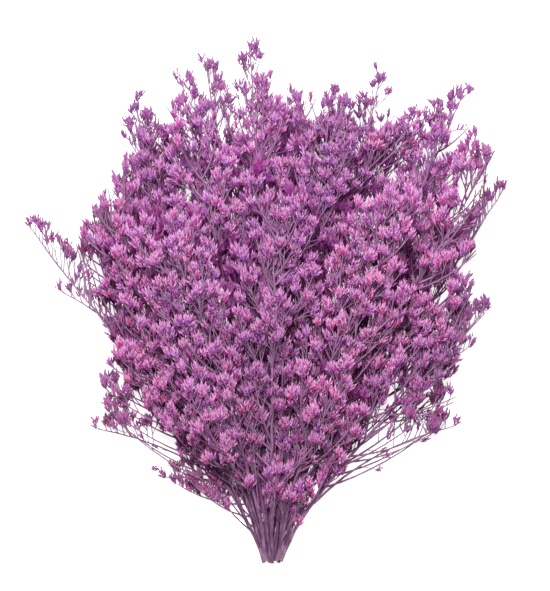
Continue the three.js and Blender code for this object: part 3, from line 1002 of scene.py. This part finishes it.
def stalk_tree():
    sockets = {label: ("Int", corners) for label, corners in ROUNDNESS.items()}
    tree, given = new_tree("Stalks", {**sockets, "Finish": ("Material", None)})
    curve = add(tree, "GeometryNodeMeshToCurve", {"Mesh": given["Geometry"]}).outputs[0]
    length = add(tree, "GeometryNodeSplineParameter").outputs["Length"]
    curve = add(tree, "GeometryNodeStoreNamedAttribute",
                {"Geometry": curve, "Name": "along", "Value": length}).outputs[0]
    level = add(tree, "GeometryNodeInputNamedAttribute", {"Name": "level"}, data_type="INT")
    thickness = add(tree, "GeometryNodeInputNamedAttribute", {"Name": "thickness"})
    joined = add(tree, "GeometryNodeJoinGeometry")
    for number, label in enumerate(ROUNDNESS):
        wanted = add(tree, "FunctionNodeCompare", {2: level.outputs[0], 3: number},
                     data_type="INT", operation="EQUAL")
        kept = add(tree, "GeometryNodeSeparateGeometry",
                   {"Geometry": curve, "Selection": wanted.outputs[0]}, domain="POINT")
        ring = add(tree, "GeometryNodeCurvePrimitiveCircle",
                   {"Resolution": given[label], "Radius": 1.0})
        place = add(tree, "GeometryNodeInputPosition")
        rim = add(tree, "GeometryNodeStoreNamedAttribute",
                  {"Geometry": ring.outputs[0], "Name": "rim", "Value": place.outputs[0]},
                  data_type="FLOAT_VECTOR")
        swept = add(tree, "GeometryNodeCurveToMesh",
                    {"Curve": kept.outputs[0], "Profile Curve": rim.outputs[0],
                     "Scale": thickness.outputs[0], "Fill Caps": True})
        tree.links.new(swept.outputs[0], joined.inputs[0])
    real = add(tree, "GeometryNodeRealizeInstances", {"Geometry": joined.outputs[0]})
    flat = above_table(tree, real.outputs[0])
    smooth = add(tree, "GeometryNodeSetShadeSmooth", {"Geometry": flat.outputs[0]})
    done = add(tree, "GeometryNodeSetMaterial",
               {"Geometry": smooth.outputs[0], "Material": given["Finish"]})
    add(tree, "NodeGroupOutput", {"Geometry": done.outputs[0]})
    return tree


print("corners round a stalk:", ROUNDNESS)

# %% What the guides carry
OUTLINE = {"width": 40, "lean": 36, "fades": 8}  # mm inside the edge, and degrees of the flanks


# The finishes darken colour by this value: painted shade deep in the bunch.
def inside(points):
    """How far inside the bunch each point lies: 0 at its surface, 1 where the shell has faded."""
    full = SHELL["depth"] + SHELL["fades"]
    return [min(max(shell_depth(point) / full, 0), 1) for point in points]


def outer(points):
    """How near the outline each point lies, as seen from above: 1 at it, 0 well inside it."""
    values = []
    for point in points:
        lean, reach = lean_and_reach(point)
        near = 1 - (edge_at(lean) - reach) / OUTLINE["width"]
        on_flank = (abs(lean) - OUTLINE["lean"]) / OUTLINE["fades"]
        values.append(float(np.clip(max(near, on_flank), 0, 1)))
    return values


def in_frame(points):
    """Millimetres from the foot to metres in the frame."""
    return (np.asarray(points) + SHIFT) * MM


def put(mesh, name, kind, values):
    """Stores one value for each vertex under a name."""
    layer = mesh.attributes.new(name, kind, "POINT")
    field = "vector" if kind == "FLOAT_VECTOR" else "value"
    layer.data.foreach_set(field, np.asarray(values).reshape(-1))


def stalk_guide(spray):
    """The axes of a spray as edges, with thickness and level on their points."""
    mesh = bpy.data.meshes.new("axes")
    edges, start = [], 0
    for twig in spray["lines"]:
        n = len(twig["points"])
        edges += [(start + i, start + i + 1) for i in range(n - 1)]
        start += n
    points = np.concatenate([twig["points"] for twig in spray["lines"]])
    mesh.from_pydata(in_frame(points), edges, [])
    radii = np.concatenate([twig["radii"] for twig in spray["lines"]])
    levels = np.concatenate([np.full(len(t["points"]), t["level"]) for t in spray["lines"]])
    put(mesh, "thickness", "FLOAT", radii * MM)
    put(mesh, "level", "INT", levels)
    put(mesh, "inside", "FLOAT", inside(points))
    put(mesh, "outer", "FLOAT", outer(points))
    return mesh


print("points on the first spray's axes:", sum(len(t["points"]) for t in sprays[0]["lines"]))

# %% [markdown]
# ## Flower spikes
#
# A spike is a short row of papery calyces, the dry cups that the small flowers sat in. They stand
# in two ranks on a common axis, overlap like tiles and end in a closed bud. A calyx is 4 to 5 mm
# long. Its pleats and open mouth could be modelled, but there are tens of thousands of spikes. So
# a calyx here is a slim three-sided body that is widest at its mouth and closed over its withered
# flower, and a spike has 18 or 24 faces. Four kinds of spike are made, and Geometry Nodes put one
# on every place, each turned its own way, and with its own size and tint.

# %% Four kinds of spike
CALYX = {"length": 4.6, "radius": 0.9, "mouth": 0.52, "corners": 3}
BUD = {"length": 4.6, "radius": 0.74, "mouth": 0.38}
# rise runs from a calyx's root, painted in shade, to its pale mouth, partly painted highlight
TIP_RISE = 0.7  # a calyx's tip is a little less pale than its mouth
SPIKE_TURN = 35  # degrees that a calyx may stand out of its rank
SPIKE_KINDS = [  # calyces below the bud, tilt of the lowest in degrees, bend of the axis in mm
    (2, 11, 0.9),
    (3, 14, -0.7),
    (2, 9, 0.4),
    (2, 12, 1.3),
]


def add_calyx(verts, faces, rise, root, aim, size, shape, height):
    """A calyx closed round its withered flower: root, mouth of three corners, and tip."""
    side = unit(np.cross(aim, np.array([0.31, 0.95, 0.1])))
    third = np.cross(aim, side)
    n, corners = len(verts), CALYX["corners"]
    length, radius = shape["length"] * size, shape["radius"] * size
    verts.append(root)
    for c in range(corners):
        turn = 2 * math.pi * c / corners + n
        spoke = side * math.cos(turn) + third * math.sin(turn)
        verts.append(root + aim * (shape["mouth"] * length) + spoke * radius)
    verts.append(root + aim * length)
    for c in range(corners):
        a, b = n + 1 + c, n + 1 + (c + 1) % corners
        faces += [(n, b, a), (a, b, n + corners + 1)]
    rise += [(0, height)] + [(1, height)] * corners + [(TIP_RISE, height)]


def spike_kind(number, calyces, tilt, bend):
    rng = random.Random(number)
    verts, faces, rise = [], [], []
    reach = SPIKE_LENGTH - BUD["length"]
    for i in range(calyces + 1):
        t = i / calyces
        root = np.array([bend * t * t, 0, reach * t])
        lean = math.radians(lerp(tilt, 3, t) + rng.uniform(-3, 3))
        turn = math.radians(180 * (i % 2) + rng.uniform(-SPIKE_TURN, SPIKE_TURN))
        flat = np.array([math.cos(turn), math.sin(turn), 0])
        aim = flat * math.sin(lean) + UP * math.cos(lean)
        shape = BUD if i == calyces else CALYX
        add_calyx(verts, faces, rise, root, aim, rng.uniform(0.92, 1.08), shape, t)
    mesh = bpy.data.meshes.new(f"spike_kind_{number}")
    mesh.from_pydata([v * MM for v in verts], [], faces)
    put(mesh, "rise", "FLOAT", [r for r, _ in rise])
    put(mesh, "height", "FLOAT", [h for _, h in rise])
    return bpy.data.objects.new(mesh.name, mesh)


kinds = bpy.data.collections.new("spike kinds")
for number, shape in enumerate(SPIKE_KINDS):
    kinds.objects.link(spike_kind(number, *shape))


# %% The tree that sets the spikes
def spike_tree():
    tree, given = new_tree("Flower spikes", {
        "Kinds": ("Collection", None),
        "Kind count": ("Int", len(SPIKE_KINDS)),
        "Seed": ("Int", 1),
        "Finish": ("Material", None),
    })
    stock = add(tree, "GeometryNodeCollectionInfo",
                {"Collection": given["Kinds"], "Separate Children": True, "Reset Children": True})
    aim = add(tree, "GeometryNodeInputNamedAttribute", {"Name": "aim"}, data_type="FLOAT_VECTOR")
    size = add(tree, "GeometryNodeInputNamedAttribute", {"Name": "size"})
    last = add(tree, "ShaderNodeMath", {0: given["Kind count"], 1: 1.0}, operation="SUBTRACT")
    kind = add(tree, "FunctionNodeRandomValue",
               {4: 0, 5: last.outputs[0], "Seed": given["Seed"]}, data_type="INT")
    turn = add(tree, "FunctionNodeRandomValue",
               {2: 0.0, 3: 2 * math.pi, "Seed": given["Seed"]})
    roll = add(tree, "FunctionNodeAxisAngleToRotation",
               {"Axis": (0, 0, 1), "Angle": turn.outputs[1]})
    along = add(tree, "FunctionNodeAlignRotationToVector", {"Vector": aim.outputs[0]}, axis="Z")
    rotation = add(tree, "FunctionNodeRotateRotation",
                   {"Rotation": along.outputs[0], "Rotate By": roll.outputs[0]},
                   rotation_space="LOCAL")
    placed = add(tree, "GeometryNodeInstanceOnPoints",
                 {"Points": given["Geometry"], "Instance": stock.outputs[0],
                  "Pick Instance": True, "Instance Index": kind.outputs[2],
                  "Rotation": rotation.outputs[0], "Scale": size.outputs[0]})
    real = add(tree, "GeometryNodeRealizeInstances", {"Geometry": placed.outputs[0]})
    flat = above_table(tree, real.outputs[0])
    done = add(tree, "GeometryNodeSetMaterial",
               {"Geometry": flat.outputs[0], "Material": given["Finish"]})
    add(tree, "NodeGroupOutput", {"Geometry": done.outputs[0]})
    return tree


def spike_guide(spray):
    """The places of a spray's spikes, each with its direction, size and tint."""
    rng = random.Random(FINE_SEED * 2 + spray["index"])
    roots, aims, sizes = zip(*spray["spikes"])
    mesh = bpy.data.meshes.new("spike places")
    mesh.from_pydata(in_frame(roots), [], [])
    put(mesh, "aim", "FLOAT_VECTOR", aims)
    put(mesh, "size", "FLOAT", sizes)
    put(mesh, "tint", "FLOAT", [rng.random() for _ in roots])
    put(mesh, "inside", "FLOAT", inside(roots))
    put(mesh, "outer", "FLOAT", outer(roots))
    return mesh


print("places on the first spray:", len(sprays[0]["spikes"]))

# %% [markdown]
# ## Finishes
#
# Dried statice takes dye like paper: the calyces soak it up and turn a matte pink or purple. Each
# spike is painted dark at its root, a painted shade, and pale at its thin tips, partly its own
# paler dye and partly a painted highlight. The stalks are woody and take less, so they stay a
# greyish mauve with fine lengthwise streaks. Deep in the bunch both are painted darker, as painted
# shade. Painted textures would have to be unwrapped over tens of thousands of spikes. Procedural
# ones need only the place and the named values that the guides carry: rise and height in a spike,
# its tint, and how far in or out it lies.

# %% A finish, and dye laid over it
def new_finish(name):
    material = bpy.data.materials.new(name)
    material.use_nodes = True
    material.node_tree.nodes.clear()
    return material, material.node_tree


def dye_and_shade_over(tree, colour, dye, value, *stops):
    """Lays a colour over another: a dye, and in some calls painted shade.
    Stops from black to white say how much of it, by the value.
    """
    share = add(tree, "ShaderNodeValToRGB", {"Fac": value}, stops=stops).outputs[0]
    return add(tree, "ShaderNodeMix", {0: share, 6: colour, 7: linear(dye)},
               data_type="RGBA").outputs[2]


print("a stop of #c0c0c0 lays on", round(linear("#c0c0c0")[0], 2), "of the dye")

# %% Dyed dry stalk
# Fibres give it fine streaks along its length. Dye that ran off leaves patches 25 mm wide, drawn
# coarser than the real ones of about 10 mm so that they still show from a step away. Near the cut
# it is painted darker, a painted shade laid in strips of 4 by 16 mm, a little coarser than real
# bark strips. Deep in the bunch it is painted darker and more purple, also as painted shade, and
# at its outline it has bleached. It has no gloss but the faint one of bare wood.
STREAKS_A_RADIUS = 2.2  # so on a stem of 1.5 mm radius a streak is 0.7 mm wide
STREAK_STRETCH = 60.0  # a metre, which makes a streak 1000 / (2.2 * 60) = 7.6 mm long
# painted shade near the cut, in strips: strip width in mm, width against length, share laid
FOOT_SHADE_STRIPS = {"strip": 4, "stretch": 0.25, "share": 0.75}  # mm wide, its width against its length
DYE_PATCH = 25  # mm


def stalk_finish():
    material, tree = new_finish("dyed dry stalk")
    rim = add(tree, "ShaderNodeAttribute", attribute_name="rim").outputs["Vector"]
    along, inside, outer = (
        add(tree, "ShaderNodeAttribute", attribute_name=name).outputs["Fac"]
        for name in ("along", "inside", "outer"))
    where = add(tree, "ShaderNodeTexCoord").outputs["Object"]
    lift = add(tree, "ShaderNodeMath", {0: along, 1: STREAK_STRETCH}, operation="MULTIPLY")
    lift = add(tree, "ShaderNodeCombineXYZ", {"Z": lift.outputs[0]}).outputs[0]
    place = add(tree, "ShaderNodeVectorMath", {0: rim, 1: lift}, operation="ADD").outputs[0]
    streaks = add(tree, "ShaderNodeTexNoise",
                  {"Vector": place, "Scale": STREAKS_A_RADIUS, "Detail": 3.0}).outputs["Fac"]
    wood = add(tree, "ShaderNodeValToRGB", {"Fac": streaks},
               [(0.3, "#764870"), (0.5, "#9d7099"), (0.72, "#c49abf")]).outputs[0]
    # painted shade near the cut: dark up to 35 mm from the cut, then less and less up to 145 mm
    height = add(tree, "ShaderNodeSeparateXYZ", {0: where}).outputs["Y"]
    low = add(tree, "ShaderNodeMapRange",
              {0: height, 1: -0.19, 2: -0.08, 3: 1.0, 4: 0.1}).outputs[0]
    long = add(tree, "ShaderNodeMapping",
               {"Vector": where, "Scale": (1.0, FOOT_SHADE_STRIPS["stretch"], 1.0)}).outputs[0]
    strips = add(tree, "ShaderNodeTexNoise",
                 {"Vector": long, "Scale": 1 / (FOOT_SHADE_STRIPS["strip"] * MM), "Detail": 3.0}).outputs["Fac"]
    foot_shade = add(tree, "ShaderNodeValToRGB", {"Fac": strips},
               [(0.36, "#2c0f28"), (0.5, "#4a2044"), (0.68, "#9c7498")]).outputs[0]
    foot_shade = add(tree, "ShaderNodeMix", {0: FOOT_SHADE_STRIPS["share"], 6: wood, 7: foot_shade}, data_type="RGBA")
    wood = add(tree, "ShaderNodeMix", {0: low, 6: wood, 7: foot_shade.outputs[2]}, data_type="RGBA")
    patches = add(tree, "ShaderNodeTexNoise",
                  {"Vector": where, "Scale": 1 / (DYE_PATCH * MM), "Detail": 2.0}).outputs["Fac"]
    dye = dye_and_shade_over(tree, wood.outputs[2], "#945c8c", patches, (0.4, "#000000"), (0.7, "#c0c0c0"))
    # painted shade: darker and more purple deep in the bunch
    dye = dye_and_shade_over(tree, dye, "#5c1052", inside, (0.06, "#000000"), (0.6, "#f0f0f0"))
    dye = dye_and_shade_over(tree, dye, "#95808e", outer, (0.2, "#000000"), (1.0, "#b0b0b0"))
    bump = add(tree, "ShaderNodeBump", {"Height": streaks, "Strength": 0.4, "Distance": 0.15 * MM})
    shader = add(tree, "ShaderNodeBsdfPrincipled",
                 {"Base Color": dye, "Roughness": 0.75, "IOR": 1.5, "Normal": bump.outputs[0]})
    add(tree, "ShaderNodeOutputMaterial", {"Surface": shader.outputs[0]})
    return material


print("streaks on a thin twig:", round(TWIG_RADII[0] / STREAKS_A_RADIUS, 2), "by",
      round(1000 / (STREAKS_A_RADIUS * STREAK_STRETCH), 1), "mm")

# %% Dyed papery calyx
# Thin dry paper with no gloss. Its dye drifts from violet to rose in blotches of 14 mm, and whole
# tufts of about 40 mm took it better or worse, as when a bunch is dipped. Single spikes differ
# too. From a step away that gives the crown its dappled look. Each spike is painted dark at its
# root, a painted shade, and pale at its tip, partly its own paler dye and partly painted
# highlight.
# Deep in the bunch it is painted darker, as painted shade, and at the outline it is dry and dull.
# first colour: painted shade at a spike's root; last: its pale tip, partly painted highlight
DYES_AND_PAINTED_SHADING = {  # at the root, the body's violet, middle and rose, where it has faded, at the tip
    "pink": ("#3e0432", ("#862c94", "#a2268a", "#b82f7e"), "#ac62a8", "#e5a9d6"),
    "orchid": ("#3a0536", ("#7e2894", "#9a2486", "#ae2e80"), "#a460ac", "#e0a7d4"),
    "plum": ("#32042e", ("#742488", "#8c2280", "#a22a76"), "#9a589e", "#d79bcd"),
}
BLOTCH = 14  # mm
TUFT = 40  # mm
SHADING = {"height": 0.48, "rise": 0.62}  # by a calyx's place in its spike, and within a calyx


def calyx_finish(dye):
    root, body, faded, tip = DYES_AND_PAINTED_SHADING[dye]
    material, tree = new_finish(f"papery calyx dyed {dye}")
    rise, height, tint, inside, outer = (
        add(tree, "ShaderNodeAttribute", attribute_name=name).outputs["Fac"]
        for name in ("rise", "height", "tint", "inside", "outer"))
    where = add(tree, "ShaderNodeTexCoord").outputs["Object"]
    # the body's hue, by blotch, and a little bluer from the foot to the top
    blotches = add(tree, "ShaderNodeTexNoise",
                   {"Vector": where, "Scale": 1 / (BLOTCH * MM), "Detail": 4.0}).outputs["Fac"]
    up = add(tree, "ShaderNodeSeparateXYZ", {0: where}).outputs["Y"]
    bluer = add(tree, "ShaderNodeMapRange",
                {0: up, 1: -0.12, 2: 0.2, 3: 0.06, 4: -0.06}).outputs[0]
    place = add(tree, "ShaderNodeMath", {0: blotches, 1: bluer}, operation="ADD").outputs[0]
    hue = add(tree, "ShaderNodeValToRGB", {"Fac": place},
              [(0.38, body[0]), (0.5, body[1]), (0.62, body[2])]).outputs[0]
    # paler or duskier, by tuft and by spike
    tufts = add(tree, "ShaderNodeTexNoise",
                {"Vector": where, "Scale": 1 / (TUFT * MM), "Detail": 1.0}).outputs["Fac"]
    paler = add(tree, "ShaderNodeMapRange",
                {0: tufts, 1: 0.35, 2: 0.65, 3: -0.25, 4: 0.3}).outputs[0]
    paler = add(tree, "ShaderNodeMath", {0: tint, 1: paler}, operation="ADD").outputs[0]
    colour = dye_and_shade_over(tree, hue, faded, paler, (0.4, "#000000"), (1.0, "#c0c0c0"))
    dusky = add(tree, "ShaderNodeValToRGB", {"Fac": paler},
                [(0.0, "#a890a4"), (0.4, "#ffffff")]).outputs[0]
    colour = add(tree, "ShaderNodeMix", {0: 1.0, 6: colour, 7: dusky},
                 data_type="RGBA", blend_type="MULTIPLY").outputs[2]
    # painted shade at the spike's root, and a pale tip that is partly painted highlight
    part = add(tree, "ShaderNodeMath", {0: rise, 1: SHADING["rise"]},
               operation="MULTIPLY").outputs[0]
    along = add(tree, "ShaderNodeMath", {0: height, 1: SHADING["height"], 2: part},
                operation="MULTIPLY_ADD").outputs[0]
    colour = dye_and_shade_over(tree, colour, root, along, (0.0, "#ffffff"), (0.55, "#000000"))
    colour = dye_and_shade_over(tree, colour, tip, along, (0.52, "#000000"), (1.0, "#d4d4d4"))
    # painted shade deep in the bunch; then dry at its outline, and there most of all at the tips
    end = add(tree, "ShaderNodeMath", {0: outer, 1: height}, operation="MULTIPLY").outputs[0]
    colour = dye_and_shade_over(tree, colour, "#7c1470", inside, (0.15, "#000000"), (0.7, "#d0d0d0"))
    colour = dye_and_shade_over(tree, colour, "#80407a", outer, (0.2, "#000000"), (1.0, "#9c9c9c"))
    colour = dye_and_shade_over(tree, colour, "#6c4068", end, (0.4, "#000000"), (1.0, "#b0b0b0"))
    shader = add(tree, "ShaderNodeBsdfPrincipled",
                 {"Base Color": colour, "Roughness": 0.8, "IOR": 1.45})
    add(tree, "ShaderNodeOutputMaterial", {"Surface": shader.outputs[0]})
    return material


print("dye lots:", ", ".join(DYES_AND_PAINTED_SHADING))

# %% [markdown]
# ## The pieces
#
# Each spray becomes two pieces, its stalks and its flower spikes, which stand for the frame's
# plain spray. One piece for the whole bunch would be simpler, but then no spray could be taken
# out, and neighbouring sprays couldn't differ in their dye lot as they do in a real bunch.

# %% Making the pieces
stalks, spikes = stalk_tree(), spike_tree()
stalk = stalk_finish()
calyces = {dye: calyx_finish(dye) for dye in DYES_AND_PAINTED_SHADING}
made = []
for spray in sprays:
    node = f"spray_{spray['index'] + 1:02d}"
    dye = list(DYES_AND_PAINTED_SHADING)[spray["index"] % len(DYES_AND_PAINTED_SHADING)]
    pieces = [
        made_by(stalks, stalk_guide(spray), node + "_stems", Finish=stalk),
        made_by(spikes, spike_guide(spray), node + "_flowers", Finish=calyces[dye],
                Kinds=kinds, Seed=spray["index"]),
    ]
    for piece in pieces:
        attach(piece, "root")
        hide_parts(node)
    made += pieces
for kind in list(kinds.objects):
    bpy.data.objects.remove(kind)
bpy.data.collections.remove(kinds)
triangles = [sum(len(face.vertices) - 2 for face in piece.data.polygons) for piece in made]
print("pieces:", len(made), "with", sum(triangles), "triangles, at most", max(triangles), "in one")

# %% [markdown]
# ## Floor, light and camera
#
# A cut bunch can't stand by itself, so it lies flat, and the camera looks straight down on it from
# far off with a long lens, which keeps all sprays at one scale. The floor is a pale sheet that
# glows a little, as a light table does, so that shadows on it stay faint. One soft lamp near the
# camera and a pale surround do the lighting.

# %% Floor
FLOOR_SIZE = 6.0  # m
FLOOR_GLOW = 0.74


def floor_finish():
    material, tree = new_finish("pale matte floor")
    shader = add(tree, "ShaderNodeBsdfPrincipled",
                 {"Base Color": linear("#f7f7f7"), "Roughness": 0.9,
                  "Emission Color": linear("#ffffff"), "Emission Strength": FLOOR_GLOW})
    add(tree, "ShaderNodeOutputMaterial", {"Surface": shader.outputs[0]})
    return material


half = FLOOR_SIZE / 2
floor_mesh = bpy.data.meshes.new("floor")
floor_mesh.from_pydata([(-half, -half, 0), (half, -half, 0), (half, half, 0), (-half, half, 0)],
                       [], [(0, 1, 2, 3)])
floor_mesh.materials.append(floor_finish())
floor = bpy.data.objects.new("floor", floor_mesh)
bpy.context.scene.collection.objects.link(floor)
floor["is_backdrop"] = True
print("floor:", FLOOR_SIZE, "m wide")

# %% Light
KEY = {"place": (-0.05, 0.45, 1.78), "at": (0, 0, 0.05), "size": 0.5, "power": 44.5}  # m and W
SURROUND = 0.275

lamp = bpy.data.lights.new("key", "AREA")
lamp.size, lamp.energy = KEY["size"], KEY["power"]
key = bpy.data.objects.new("key", lamp)
key.location = KEY["place"]
towards = Vector(KEY["at"]) - Vector(KEY["place"])
key.rotation_euler = towards.to_track_quat("-Z", "Y").to_euler()
bpy.context.scene.collection.objects.link(key)
world = bpy.data.worlds.new("studio")
world.use_nodes = True
background = world.node_tree.nodes["Background"].inputs
background["Color"].default_value = linear("#ffffff")
background["Strength"].default_value = SURROUND
bpy.context.scene.world = world
bpy.context.scene.view_settings.view_transform = "Standard"
print("key lamp:", round(towards.length, 2), "m from the bunch")

# %% Camera
VIEW_HEIGHT = 502.4  # of the crown's middle plane that the picture shows, in mm
VIEW_MIDDLE = (2.5, 231.6)  # from the foot, in mm
CAMERA_HEIGHT = 6000  # mm
CROWN_MIDDLE = 80  # height of the crown's middle plane, in mm
camera = bpy.data.objects.new("camera", bpy.data.cameras.new("camera"))
camera.location = in_frame([*VIEW_MIDDLE, CAMERA_HEIGHT])
camera.data.lens = camera.data.sensor_width * (CAMERA_HEIGHT - CROWN_MIDDLE) / VIEW_HEIGHT
bpy.context.scene.collection.objects.link(camera)
bpy.context.scene.camera = camera
print("lens:", round(camera.data.lens), "mm")

# %% The last checks
low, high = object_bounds()
print("visual box:", [round(v / MM) for v in low], [round(v / MM) for v in high], "mm")
